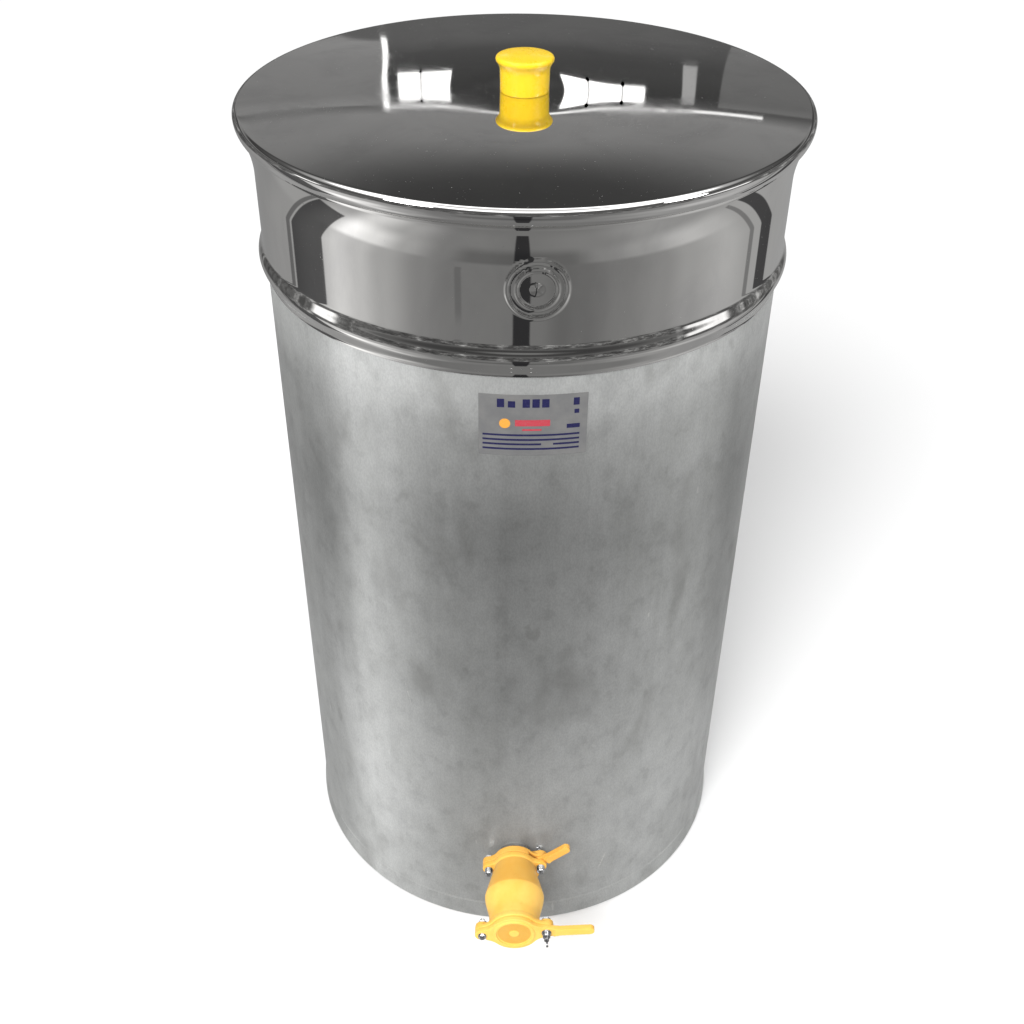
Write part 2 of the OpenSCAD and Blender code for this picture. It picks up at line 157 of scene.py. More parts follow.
studioSet = {
    "soft": 0.56,          # even light for matt surfaces
    "zenith": 2.4,         # ring of softboxes, seen only in polished steel
    "overhead": 0.80,      # ceiling inside that ring
    "dark": 0.10,          # unlit ceiling between softbox and walls
    # brightness by bearing in turns: 0 is behind the object, 0.5 is the camera's side, 0.75 its left
    "upper": [(0.00, 0.30), (0.09, 0.37), (0.19, 0.41), (0.235, 0.50), (0.295, 0.39), (0.33, 0.30),
              (0.38, 0.235), (0.43, 0.175), (0.455, 0.155), (0.48, 0.20), (0.53, 0.207), (0.585, 0.22),
              (0.62, 0.27), (0.672, 0.46), (0.703, 0.64), (0.733, 0.80), (0.77, 0.60), (0.84, 0.34),
              (0.92, 0.28), (1.00, 0.30)],
    "middle": [(0.00, 0.34), (0.19, 0.42), (0.235, 0.54), (0.28, 0.60), (0.35, 0.38), (0.40, 0.28),
               (0.445, 0.15), (0.50, 0.13), (0.56, 0.15), (0.60, 0.24), (0.65, 0.44), (0.695, 0.95),
               (0.733, 1.40), (0.765, 0.70), (0.82, 0.38), (1.00, 0.34)],
    "lower": [(0.00, 0.32), (0.20, 0.34), (0.30, 0.36), (0.40, 0.25), (0.50, 0.21), (0.60, 0.24),
              (0.67, 0.44), (0.73, 0.85), (0.77, 0.48), (0.83, 0.36), (1.00, 0.32)],
    "steep": 0.20,         # straight down, seen by the flare and the skirt
    # dark cards: bearing in degrees clockwise from behind, half width, elevation, half height, strength
    "cards": [(180.3, 3.6, -38.0, 24.0, 0.88), (283.5, 10.5, -28.0, 16.0, 0.84),
              (297.0, 1.6, -28.0, 16.0, 0.6), (56.0, 5.0, -27.0, 16.0, 0.86),
              (68.5, 1.6, -27.0, 16.0, 0.5), (207.0, 1.4, -22.0, 6.0, 0.25)],
    "cardTone": (0.012, 0.012, 0.014),
    # windows behind, and their bars with a strength below 0: signed bearing, then as the cards
    "windows": [(-4.4, 1.3, 17.9, 0.9, 2.2), (4.0, 2.1, 18.25, 0.5, 2.4), (2.9, 9.2, 19.2, 0.10, 1.1),
                (-6.35, 0.13, 16.6, 2.7, 1.6), (5.0, 0.05, 18.25, 0.6, -2.0),
                (3.2, 0.05, 18.25, 0.6, -2.0), (-4.6, 0.05, 17.9, 1.0, -1.8),
                (-14.5, 8.0, 16.6, 2.5, 0.17), (12.5, 2.6, 16.6, 2.2, 0.10), (8.3, 0.35, 17.2, 1.5, 0.35)],
    # soft-edged panels at each side, which light the swage and the lip
    "glints": [(100.0, 11.0, 3.0, 5.0, 1.2), (-93.0, 6.0, 3.0, 5.0, 1.2)],
}


def boxMask(tree, bearing, elevation, box, soft):
    # 1 inside a rectangle of bearing and elevation, in degrees, falling to 0 over soft
    middle, half, level, rise = box
    sides = []
    for value, centre, reach in ((bearing, middle, half), (elevation, level, rise)):
        gap = mathNode(tree, "ABSOLUTE", mathNode(tree, "SUBTRACT", value, centre))
        sides.append(stepNode(tree, gap, reach + soft, reach - soft))
    return mathNode(tree, "MULTIPLY", sides[0], sides[1])


def makeStudio(settings):
    # even light for matt surfaces; polished steel sees softboxes, cards and walls by bearing and
    # elevation, which are the arctangent of x over y and the arcsine of z of the view's direction
    world = bpy.data.worlds.new("softStudio")
    scene.world = world
    world.use_nodes = True
    world.cycles.sampling_method = "NONE"
    tree = world.node_tree
    tree.nodes.clear()
    way = tree.nodes.new("ShaderNodeTexCoord").outputs["Generated"]
    parts = addNode(tree, "ShaderNodeSeparateXYZ", in0=way).outputs
    bearing = mathNode(tree, "MULTIPLY", mathNode(tree, "ARCTAN2", parts[0], parts[1]), 180 / math.pi)
    elevation = mathNode(tree, "MULTIPLY", mathNode(tree, "ARCSINE", parts[2]), 180 / math.pi)
    turn = mathNode(tree, "FRACT", mathNode(tree, "ADD", mathNode(tree, "DIVIDE", bearing, 360.0), 1.0))
    degrees = mathNode(tree, "MULTIPLY", turn, 360.0)
    walls = mixColour(tree, stepNode(tree, elevation, -31.0, -34.5),
                      rampNode(tree, turn, settings["upper"]), rampNode(tree, turn, settings["middle"]))
    walls = mixColour(tree, stepNode(tree, elevation, -40.0, -50.0), walls,
                      rampNode(tree, turn, settings["lower"]))
    walls = mixColour(tree, stepNode(tree, elevation, -56.0, -70.0), walls, (settings["steep"],) * 3)
    for middle, half, level, rise, strength in settings["cards"]:
        mask = boxMask(tree, degrees, elevation, (middle, half, level, rise), 0.5)
        walls = mixColour(tree, mathNode(tree, "MULTIPLY", mask, strength), walls, settings["cardTone"])
    # clutter near eye level: upright bars of uneven light, mostly dark
    bars = noiseNode(tree, stretched(tree, way, (1, 1, 0.35)), 9.0, 4, 0.75)
    clutter = rampNode(tree, bars, [(0.36, 0.03), (0.50, 0.10), (0.60, 0.28), (0.70, 0.60)])
    eye = mathNode(tree, "MULTIPLY", stepNode(tree, elevation, -19.0, -12.0),
                   stepNode(tree, elevation, 13.0, 10.0))
    walls = mixColour(tree, mathNode(tree, "MULTIPLY", eye, 0.9), walls, clutter)
    lift = mathNode(tree, "DIVIDE", mathNode(tree, "ADD", elevation, 90.0), 180.0)
    zenith = settings["zenith"]
    ceiling = rampNode(tree, lift, [(0.575, 0.13), (0.590, 0.07), (0.605, 0.05), (0.6065, 0.27),
                                    (0.616, 0.24), (0.64, 0.05), (0.70, settings["dark"]), (0.76, 0.5),
                                    (0.79, zenith), (0.86, zenith), (0.91, settings["overhead"])])
    glow = mixColour(tree, stepNode(tree, elevation, 10.0, 13.0), walls, ceiling)
    bright = 0.0
    for group, soft in (("windows", 0.05), ("glints", 2.0)):
        for middle, half, level, rise, strength in settings[group]:
            mask = boxMask(tree, bearing, elevation, (middle, half, level, rise), soft)
            bright = mathNode(tree, "ADD", bright, mathNode(tree, "MULTIPLY", mask, strength))
    total = mixColour(tree, 1.0, glow, bright, "ADD")
    path = tree.nodes.new("ShaderNodeLightPath").outputs
    even = mixColour(tree, path["Is Camera Ray"], (settings["soft"],) * 3, (1.0, 1.0, 1.0))
    seen = mixColour(tree, path["Is Glossy Ray"], even, total)
    back = addNode(tree, "ShaderNodeBackground", Color=seen)
    out = tree.nodes.new("ShaderNodeOutputWorld")
    tree.links.new(back.outputs[0], out.inputs["Surface"])


floorSet = {"half": 14.0, "colour": (0.86, 0.86, 0.86, 1)}


def makeFloor(settings):
    # one flat pale sheet at z = 0; polished steel looks past it to the studio walls
    half = settings["half"]
    mesh = bpy.data.meshes.new("floor")
    corners = [(-half, -half, 0), (half, -half, 0), (half, half, 0), (-half, half, 0)]
    mesh.from_pydata(corners, [], [(0, 1, 2, 3)])
    floor = bpy.data.objects.new("floor", mesh)
    scene.collection.objects.link(floor)
    material, tree, shader, place = newFinish("paleFloor", **{
        "Roughness": 0.9, "Base Color": settings["colour"], "Specular IOR Level": 0.0})
    path = tree.nodes.new("ShaderNodeLightPath").outputs["Is Glossy Ray"]
    clear = tree.nodes.new("ShaderNodeBsdfTransparent")
    both = addNode(tree, "ShaderNodeMixShader", in0=path, in1=shader.outputs[0], in2=clear.outputs[0])
    out = next(n for n in tree.nodes if n.type == "OUTPUT_MATERIAL")
    tree.links.new(both.outputs[0], out.inputs["Surface"])
    mesh.materials.append(material)


lightSet = {
    "key": {"kind": "SUN", "place": (-0.30, -0.74, 0.68), "aim": (0, 0, 0), "size": 0.45, "power": 2.9,
            "seen": False},
    "left": {"kind": "AREA", "place": (-1.6, -1.5, 2.5), "aim": (0, 0, 0.4), "size": 0.8, "power": 16,
             "seen": True},
    "right": {"kind": "AREA", "place": (1.9, -0.9, 2.1), "aim": (0, 0, 0.4), "size": 0.7, "power": 12,
              "seen": True},
}


def makeLights(settings):
    # each lamp's own Z points back from its aim, its X lies level; seen says whether polish shows it
    for name, one in settings.items():
        data = bpy.data.lights.new(name, one["kind"])
        data.energy = one["power"]
        if one["kind"] == "SUN":
            data.angle = one["size"]
        else:
            data.shape = "DISK"
            data.size = one["size"]
        lamp = bpy.data.objects.new(name, data)
        scene.collection.objects.link(lamp)
        spot = np.array(one["place"], float)
        back = spot - np.array(one["aim"], float)
        back /= np.linalg.norm(back)
        side = np.cross((0, 0, 1), back)
        side /= np.linalg.norm(side)
        rise = np.cross(back, side)
        turn = Matrix(np.stack([side, rise, back], 1).tolist()).to_4x4()
        lamp.matrix_world = Matrix.Translation(spot.tolist()) @ turn
        lamp.visible_camera = False
        lamp.visible_glossy = one["seen"]


placeCamera(cameraSet)
makeStudio(studioSet)
makeFloor(floorSet)
makeLights(lightSet)
print("studio ready")


satinSet = {"base": (0.78, 0.79, 0.775), "dark": (0.64, 0.65, 0.635), "light": (0.86, 0.87, 0.86),
            "dull": (0.34, 0.34, 0.325), "mark": (0.27, 0.27, 0.255), "fleck": (0.90, 0.90, 0.88),
            "scratch": (1.0, 1.0, 0.97), "rough": 0.37, "streaks": 46.0, "top": 0.72,
            # bearing from -Y in degrees, height, half length, half width in metres, lean in degrees
            "scratches": [(24.0, 0.0788, 0.009, 0.0009, 19.0), (31.5, 0.432, 0.004, 0.0009, 4.0),
                          (-27.0, 0.33, 0.014, 0.0003, -12.0), (52.0, 0.25, 0.012, 0.0003, 30.0),
                          (160.0, 0.36, 0.016, 0.0004, -25.0), (-118.0, 0.22, 0.010, 0.0004, 14.0)],
            # brightness and bareness of the metal by height, from the floor to the wall's top edge
            "toneUp": [(0.0, 0.92), (0.28, 0.91), (0.55, 0.85), (0.74, 0.80), (0.88, 0.88), (0.98, 1.0)],
            "metalUp": [(0.0, 0.76), (0.28, 0.80), (0.55, 0.89), (0.76, 0.94), (0.88, 0.88), (0.98, 0.74)]}


def scratchMask(tree, place, bearing, level, half, wide, lean):
    # 1 on a short straight line on the wall, 0 elsewhere: distances along and across it are dot
    # products with two unit vectors
    turn, tilt = math.radians(bearing), math.radians(lean)
    side = (math.cos(turn), math.sin(turn))
    along = (math.sin(tilt) * side[0], math.sin(tilt) * side[1], math.cos(tilt))
    across = (math.cos(tilt) * side[0], math.cos(tilt) * side[1], -math.sin(tilt))
    sides = []
    for way, reach, soft in ((along, half, half * 0.5), (across, wide, wide * 0.6)):
        node = addNode(tree, "ShaderNodeVectorMath", in0=place, in1=way)
        node.operation = "DOT_PRODUCT"
        gap = mathNode(tree, "ABSOLUTE", mathNode(tree, "SUBTRACT", node.outputs["Value"], way[2] * level))
        sides.append(stepNode(tree, gap, reach + soft, reach - soft))
    front = addNode(tree, "ShaderNodeVectorMath", in0=place, in1=(math.sin(turn), -math.cos(turn), 0.0))
    front.operation = "DOT_PRODUCT"
    facing = stepNode(tree, front.outputs["Value"], 0.10, 0.12)
    broken = rampNode(tree, noiseNode(tree, place, 420.0, 2, 0.6), [(0.38, 0.0), (0.52, 1.0)])
    return mathNode(tree, "MULTIPLY", mathNode(tree, "MULTIPLY", sides[0], sides[1]),
                    mathNode(tree, "MULTIPLY", facing, broken))


def makeSatinSteel(name, settings):
    # rolled sheet: cloudy smudges, faint upright streaks, dull spots, fine pale flecks and a few
    # scratches; paler low down and under the collar
    material, tree, shader, place = newFinish(name)
    streak = noiseNode(tree, stretched(tree, place, (1, 1, 0.035)), settings["streaks"], 5, 0.6)
    cloud = noiseNode(tree, stretched(tree, place, (1, 1, 0.5)), 6.0, 7, 0.62, 0.5)
    mottle = noiseNode(tree, stretched(tree, place, (1, 1, 0.8)), 42.0, 5, 0.6)
    grain = noiseNode(tree, stretched(tree, place, (1, 1, 0.5)), 700.0, 2, 0.6)
    blot = noiseNode(tree, stretched(tree, place, (1, 1, 0.6)), 15.0, 4, 0.5, 0.3)
    spot = noiseNode(tree, stretched(tree, place, (1, 1, 0.7)), 34, 2, 0.45)
    flake = noiseNode(tree, stretched(tree, place, (1, 1, 0.3)), 95, 2, 0.4)
    cloudy = rampNode(tree, cloud, [(0.34, 0.0), (0.66, 1.0)])
    tone = mixColour(tree, cloudy, settings["dark"], settings["light"])
    tone = mixColour(tree, 0.35, tone, settings["base"])
    for pattern, stops in ((streak, [(0.30, 0.93), (0.5, 0.985), (0.72, 1.03)]),
                           (mottle, [(0.32, 0.88), (0.5, 1.0), (0.68, 1.06)]),
                           (grain, [(0.3, 0.93), (0.7, 1.05)])):
        tone = mixColour(tree, 1.0, tone, rampNode(tree, pattern, stops), "MULTIPLY")
    for pattern, start, stop, share, colour in ((blot, 0.54, 0.72, 0.36, "dull"),
                                                (spot, 0.70, 0.78, 0.27, "mark"),
                                                (flake, 0.775, 0.795, 0.7, "fleck")):
        mask = mathNode(tree, "MULTIPLY", rampNode(tree, pattern, [(start, 0.0), (stop, 1.0)]), share)
        tone = mixColour(tree, mask, tone, settings[colour])
    for scratch in settings["scratches"]:
        line = mathNode(tree, "MULTIPLY", scratchMask(tree, place, *scratch), 0.85)
        tone = mixColour(tree, line, tone, settings["scratch"])
    level = addNode(tree, "ShaderNodeSeparateXYZ", in0=place).outputs[2]
    high = mathNode(tree, "DIVIDE", level, settings["top"])
    tone = mixColour(tree, 1.0, tone, rampNode(tree, high, settings["toneUp"]), "MULTIPLY")
    tree.links.new(tone, shader.inputs["Base Color"])
    tree.links.new(rampNode(tree, high, settings["metalUp"]), shader.inputs["Metallic"])
    rough = spanNode(tree, cloud, settings["rough"] - 0.04, settings["rough"] + 0.08)
    tree.links.new(rough, shader.inputs["Roughness"])
    height = mathNode(tree, "ADD", mathNode(tree, "MULTIPLY", streak, 0.2),
                      mathNode(tree, "MULTIPLY", cloud, 1.2))
    addBump(tree, shader, height, 0.3, 0.0010)
    return material


mirrorSet = {"base": (0.80, 0.79, 0.775), "haze": (0.70, 0.69, 0.68), "dust": (0.90, 0.90, 0.88),
             "rough": 0.02}


def makeMirrorSteel(name, settings, wave, film):
    # polished sheet: slow waves in the metal, a film of haze, fine wiping marks and dust;
    # wave is the relief's strength and film the roughness of the haze
    material, tree, shader, place = newFinish(name, Metallic=1.0)
    wide = noiseNode(tree, place, 6.0, 1, 0.4)
    haze = noiseNode(tree, stretched(tree, place, (1, 1, 0.5)), 14.0, 6, 0.62, 0.5)
    wipe = noiseNode(tree, stretched(tree, place, (0.2, 1, 1), (0.2, 0.1, 0.6)), 300.0, 3, 0.6)
    dust = rampNode(tree, noiseNode(tree, place, 620.0, 1, 0.3), [(0.76, 0.0), (0.80, 1.0)])
    hazy = rampNode(tree, haze, [(0.40, 0.0), (0.72, 1.0)])
    tone = mixColour(tree, hazy, settings["base"], settings["haze"])
    tone = mixColour(tree, mathNode(tree, "MULTIPLY", dust, 0.22), tone, settings["dust"])
    tree.links.new(tone, shader.inputs["Base Color"])
    dim = mathNode(tree, "MULTIPLY", rampNode(tree, haze, [(0.45, 0.0), (0.75, 1.0)]), film)
    rub = mathNode(tree, "MULTIPLY", rampNode(tree, wipe, [(0.60, 0.0), (0.85, 1.0)]), film * 0.5)
    rough = mathNode(tree, "ADD", mathNode(tree, "ADD", dim, rub), settings["rough"])
    rough = mathNode(tree, "ADD", rough, mathNode(tree, "MULTIPLY", dust, 0.25), True)
    tree.links.new(rough, shader.inputs["Roughness"])
    height = mathNode(tree, "ADD", wide, mathNode(tree, "MULTIPLY", wipe, 0.0006))
    addBump(tree, shader, height, wave, 0.0009)
    return material


plasticSet = {"base": (0.90, 0.51, 0.085), "deep": (0.74, 0.35, 0.04), "pale": (0.95, 0.59, 0.13),
              "rough": 0.36, "gloss": 0.0, "dirt": 0.28, "shade": None}
# painted shade: the front gate's round recess floor, darkened towards the deep colour
wellShadeSet = {"level": 0.116, "wide": 0.0176, "from": 0.3385, "to": 0.3413, "blur": 0.0004, "strength": 0.62}
# painted shade: the valve body's rear cone, from the crease back to the tank, darkened towards the deep
# colour
creaseShadeSet = {"level": 0.116, "wide": 1.0, "from": 0.10, "to": 0.2972, "blur": 0.0004, "strength": 0.42}


def makePlastic(name, settings):
    # moulded plastic: cloudy colour, fine orange-peel skin, rubbed and slightly dirty patches;
    # shade is a painted shade: a disc about the valve's axis, with its radius and reach along -Y, darkened
    # towards the deep colour
    material, tree, shader, place = newFinish(name)
    cloud = noiseNode(tree, place, 38.0, 4, 0.55)
    skin = noiseNode(tree, place, 900.0, 2, 0.5)
    grime = noiseNode(tree, place, 120.0, 5, 0.65)
    cloudy = rampNode(tree, cloud, [(0.32, 0.0), (0.7, 1.0)])
    tone = mixColour(tree, cloudy, settings["base"], settings["pale"])
    dirty = mathNode(tree, "MULTIPLY", rampNode(tree, grime, [(0.58, 0.0), (0.74, 1.0)]), settings["dirt"])
    tone = mixColour(tree, dirty, tone, settings["deep"])
    # painted shade: the zone below is darkened towards the deep colour to stand in for shade
    if settings["shade"]:
        zone = settings["shade"]
        parts = addNode(tree, "ShaderNodeSeparateXYZ", in0=place).outputs
        up = mathNode(tree, "SUBTRACT", parts[2], zone["level"])
        far = mathNode(tree, "SQRT", mathNode(tree, "ADD", mathNode(tree, "MULTIPLY", parts[0], parts[0]),
                                              mathNode(tree, "MULTIPLY", up, up)))
        out = mathNode(tree, "MULTIPLY", parts[1], -1.0)
        blur = zone["blur"]
        mask = stepNode(tree, far, zone["wide"], zone["wide"] - 3 * blur)
        mask = mathNode(tree, "MULTIPLY", mask, stepNode(tree, out, zone["from"] - blur, zone["from"] + blur))
        mask = mathNode(tree, "MULTIPLY", mask, stepNode(tree, out, zone["to"] + blur, zone["to"] - blur))
        tone = mixColour(tree, mathNode(tree, "MULTIPLY", mask, zone["strength"]), tone, settings["deep"])
    tree.links.new(tone, shader.inputs["Base Color"])
    rough = settings["rough"]
    tree.links.new(spanNode(tree, grime, rough - 0.05, rough + 0.1), shader.inputs["Roughness"])
    shader.inputs["Subsurface Weight"].default_value = 0.10
    shader.inputs["Subsurface Radius"].default_value = (0.004, 0.002, 0.0006)
    shader.inputs["Subsurface Scale"].default_value = 1.0
    shader.inputs["Coat Weight"].default_value = settings["gloss"]
    shader.inputs["Coat Roughness"].default_value = 0.08
    height = mathNode(tree, "ADD", skin, mathNode(tree, "MULTIPLY", cloud, 2.0))
    addBump(tree, shader, height, 0.12, 0.0002)
    return material


def makeBoltSteel(name):
    # bright fastener steel: turning marks, small dull patches
    material, tree, shader, place = newFinish(name, Metallic=1.0)
    marks = noiseNode(tree, stretched(tree, place, (1, 14, 1)), 260.0, 3, 0.6)
    dull = noiseNode(tree, place, 190.0, 4, 0.6)
    worn = rampNode(tree, dull, [(0.42, 0.0), (0.7, 1.0)])
    tone = mixColour(tree, worn, (0.88, 0.88, 0.89), (0.60, 0.59, 0.57))
    tree.links.new(tone, shader.inputs["Base Color"])
    tree.links.new(spanNode(tree, marks, 0.20, 0.34), shader.inputs["Roughness"])
    addBump(tree, shader, marks, 0.12, 0.0001)
    return material


def makeRubber(name):
    # dull black rubber: dusty, finely pitted
    material, tree, shader, place = newFinish(name)
    pits = noiseNode(tree, place, 700.0, 3, 0.6)
    dusty = rampNode(tree, pits, [(0.4, 0.0), (0.75, 1.0)])
    tone = mixColour(tree, dusty, (0.018, 0.018, 0.018), (0.07, 0.068, 0.065))
    tree.links.new(tone, shader.inputs["Base Color"])
    tree.links.new(spanNode(tree, pits, 0.62, 0.85), shader.inputs["Roughness"])
    addBump(tree, shader, pits, 0.3, 0.0002)
    return material


def makeLabelFilm(name):
    # thin silvery film: brushed across, with handling marks
    material, tree, shader, place = newFinish(name, Metallic=0.7)
    brush = noiseNode(tree, stretched(tree, place, (0.05, 0.05, 1)), 900.0, 3, 0.6)
    wear = noiseNode(tree, place, 60.0, 5, 0.6)
    handled = rampNode(tree, wear, [(0.35, 0.0), (0.7, 1.0)])
    tone = mixColour(tree, handled, (0.35, 0.35, 0.355), (0.42, 0.415, 0.41))
    tree.links.new(tone, shader.inputs["Base Color"])
    tree.links.new(spanNode(tree, brush, 0.34, 0.48), shader.inputs["Roughness"])
    addBump(tree, shader, brush, 0.08, 0.0001)
    return material


def makeInk(name, colour, faded):
    # printed ink: slightly broken and faded
    material, tree, shader, place = newFinish(name)
    broken = noiseNode(tree, place, 1500.0, 2, 0.6)
    tone = mixColour(tree, rampNode(tree, broken, [(0.5, 0.0), (0.72, 1.0)]), colour, faded)
    tree.links.new(tone, shader.inputs["Base Color"])
    tree.links.new(spanNode(tree, broken, 0.42, 0.6), shader.inputs["Roughness"])
    addBump(tree, shader, broken, 0.1, 0.00005)
    return material


satinSteel = makeSatinSteel("satinSteel", satinSet)
panSteel = makeSatinSteel("panSteel", {**satinSet, "rough": 0.46})
weldSteel = makeSatinSteel("weldSteel", {**satinSet, "dark": (0.80, 0.81, 0.79), "rough": 0.42})
# painted shade: a darker, duller copy of the wall's steel for the nipple, which sits in shade between valve
# and wall
shadedNippleSteel = makeSatinSteel("shadedNippleSteel", {
    **satinSet, "base": (0.30, 0.30, 0.29), "dark": (0.22, 0.22, 0.21), "light": (0.36, 0.36, 0.35),
    "rough": 0.62})
collarMirror = makeMirrorSteel("collarMirror", {**mirrorSet, "base": (0.79, 0.78, 0.76)}, 0.22, 0.05)
lidMirror = makeMirrorSteel("lidMirror", mirrorSet, 0.05, 0.05)
# the body's plastic carries a painted shade on its rear cone
valvePlastic = makePlastic("valvePlastic", {**plasticSet, "shade": creaseShadeSet})
# the gate's darker deep colour serves both its dirty patches and the painted shade in the recess
gatePlastic = makePlastic("gatePlastic", {**plasticSet, "shade": wellShadeSet, "deep": (0.50, 0.25, 0.03)})
# painted shade: a darker, more orange copy of the valve plastic for the seat flange and rear gate, which sit
# in shade by the wall
shadedRearPlastic = makePlastic("shadedRearPlastic", {
    **plasticSet, "base": (0.79, 0.40, 0.065), "pale": (0.85, 0.46, 0.09)})
knobPlastic = makePlastic("knobPlastic", {
    **plasticSet, "base": (0.98, 0.63, 0.014), "deep": (0.90, 0.50, 0.008), "pale": (1.0, 0.67, 0.02),
    "rough": 0.27, "gloss": 0.3, "dirt": 0.03})
boltSteel = makeBoltSteel("boltSteel")
blackRubber = makeRubber("blackRubber")
labelFilm = makeLabelFilm("labelFilm")
inks = {
    "blueInk": makeInk("blueInk", (0.008, 0.008, 0.060), (0.03, 0.03, 0.11)),
    "redInk": makeInk("redInk", (0.42, 0.03, 0.05), (0.4, 0.10, 0.11)),
    "amberInk": makeInk("amberInk", (0.70, 0.30, 0.03), (0.6, 0.32, 0.10)),
}
print("finishes ready")


def outward(verts, faces):
    # faces turned over if the volume they enclose, the sum of their corners' triple products, is
    # negative; the few faces that aren't quads are left out of the sum
    quads = np.array([f for f in faces if len(f) == 4])
    a, b, c, d = (verts[quads[:, k]] for k in range(4))
    volume = np.einsum("ij,ij->i", a, np.cross(b, c)).sum() + np.einsum("ij,ij->i", a, np.cross(c, d)).sum()
    return faces if volume > 0 else [f[::-1] for f in faces]


def addPiece(name, verts, faces, material, body, slot, stands=(), sharp=40):
    # a smooth piece with edges sharper than sharp degrees kept, in place of the nodes it stands for
    mesh = bpy.data.meshes.new(name)
    mesh.from_pydata(verts.tolist(), [], outward(verts, faces))
    mesh.validate()
    mesh.polygons.foreach_set("use_smooth", np.ones(len(mesh.polygons), bool))
    mesh.set_sharp_from_angle(angle=math.radians(sharp))
    mesh.materials.append(material)
    mesh.update()
    piece = bpy.data.objects.new(name, mesh)
    scene.collection.objects.link(piece)
    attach(piece, body)
    if stands:
        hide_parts(*stands)


def gridFaces(rows, cols, downs, sides):
    # quads between point (i, j), the next row and the next column, both wrapping round to 0
    i, j = np.meshgrid(np.arange(downs), np.arange(sides), indexing="ij")
    down, side = (i + 1) % rows, (j + 1) % cols
    corners = [i * cols + j, down * cols + j, down * cols + side, i * cols + side]
    return np.stack(corners, -1).reshape(-1, 4).tolist()


def turned(loop, angles, push=None):
    # point (i, j) stands at height z_i, radius r_i + push_ij and bearing a_j, measured from -Y
    # towards +X; the loop of (r, z) closes on itself, and so does a full circle, or flat ends close it
    loop = np.asarray(loop, float) * mm
    angles = np.asarray(angles, float)
    full = angles[-1] - angles[0] > math.radians(359)
    if full:
        angles = angles[:-1]
    radius = np.repeat(loop[:, :1], len(angles), 1)
    if push is not None:
        radius = radius + push[:, :len(angles)] * mm
    verts = np.stack([radius * np.sin(angles), -radius * np.cos(angles),
                      np.repeat(loop[:, 1:], len(angles), 1)], -1).reshape(-1, 3)
    rows, cols = len(loop), len(angles)
    faces = gridFaces(rows, cols, rows, cols if full else cols - 1)
    if not full:
        first = [k * cols for k in range(rows)]
        faces += [first, [k + cols - 1 for k in first[::-1]]]
    return verts, faces


def arcLine(middle, radius, start, stop, count):
    # points on a circle about middle, from start to stop in degrees
    a = np.radians(np.linspace(start, stop, count))
    return np.stack([middle[0] + radius * np.cos(a), middle[1] + radius * np.sin(a)], 1)


def easeLine(t):
    # three t squared less two t cubed, flat below 0 and above 1
    t = np.clip(t, 0, 1)
    return t * t * (3 - 2 * t)


def sheetLoop(line, thick):
    # outline, then the same outline moved to its left by the sheet's thickness, run back
    line = np.asarray(line, float)
    along = np.gradient(line, axis=0)
    along /= np.linalg.norm(along, axis=1, keepdims=True)
    other = line + thick * np.stack([-along[:, 1], along[:, 0]], 1)
    return np.concatenate([line, other[::-1]])


roundAngles = np.linspace(-math.pi, math.pi, 385)

wallSet = {"r": 240.0, "t": 1.0, "low": 25.0, "high": 722.0, "rows": 90, "innerRows": 12,
           # bearing in degrees, height, spread and depth in millimetres
           "dents": [(-24, 470, 26, 0.35), (9, 300, 34, 0.30), (38, 560, 40, 0.40), (52, 250, 30, 0.35),
                     (-52, 380, 36, 0.30), (21, 180, 22, 0.30), (150, 400, 45, 0.45), (-120, 260, 40, 0.40)]}


def wallPush(angles, heights, settings):
    # always inwards: a slow wave in the sheet and round dents, deepest at their middle
    a, z = np.meshgrid(angles, heights)
    push = -0.14 - 0.07 * np.sin(3 * a + 0.004 * z) - 0.05 * np.sin(7 * a - 0.011 * z) * np.sin(z / 90)
    for bearing, level, spread, depth in settings["dents"]:
        across = np.mod(a - math.radians(bearing) + math.pi, 2 * math.pi) - math.pi
        push -= depth * np.exp(-((across * settings["r"]) ** 2 + (z - level) ** 2) / spread ** 2)
    ends = easeLine((z - heights[0]) / 25) * easeLine((heights[-1] - z) / 25)
    return push * ends


outer = np.linspace(wallSet["low"], wallSet["high"], wallSet["rows"])
inner = np.linspace(wallSet["high"], wallSet["low"], wallSet["innerRows"])
wallLoop = np.concatenate([np.stack([np.full(len(outer), wallSet["r"]), outer], 1),
                           np.stack([np.full(len(inner), wallSet["r"] - wallSet["t"]), inner], 1)])
wallMove = np.zeros((len(wallLoop), len(roundAngles)))
wallMove[:len(outer)] = wallPush(roundAngles, outer, wallSet)
wallMove[:len(outer), -1] = wallMove[:len(outer), 0]
addPiece("tankWall", *turned(wallLoop, roundAngles, wallMove), satinSteel, "tank", "satin_steel",
         ("tank_shell",))

panSet = {"swell": 2.3, "corner": 4.0, "flat": 236.0, "hole": 6.0, "hub": 6.5, "hubSteps": 25}


def panLine(settings, wall):
    # a side that swells by one less the square of its height's share, a round corner, then flat
    corner = settings["corner"]
    foot = wall["r"] + settings["swell"]
    drop = corner + (wall["low"] - corner) * np.linspace(1, 0, 12)
    return np.concatenate([
        np.stack([wall["r"] + settings["swell"] * (1 - (drop / wall["low"]) ** 2), drop], 1),
        arcLine((foot - corner, corner), corner, -8, -90, 9),
        np.stack([np.linspace(settings["flat"], settings["hole"], 14), np.zeros(14)], 1),
    ])


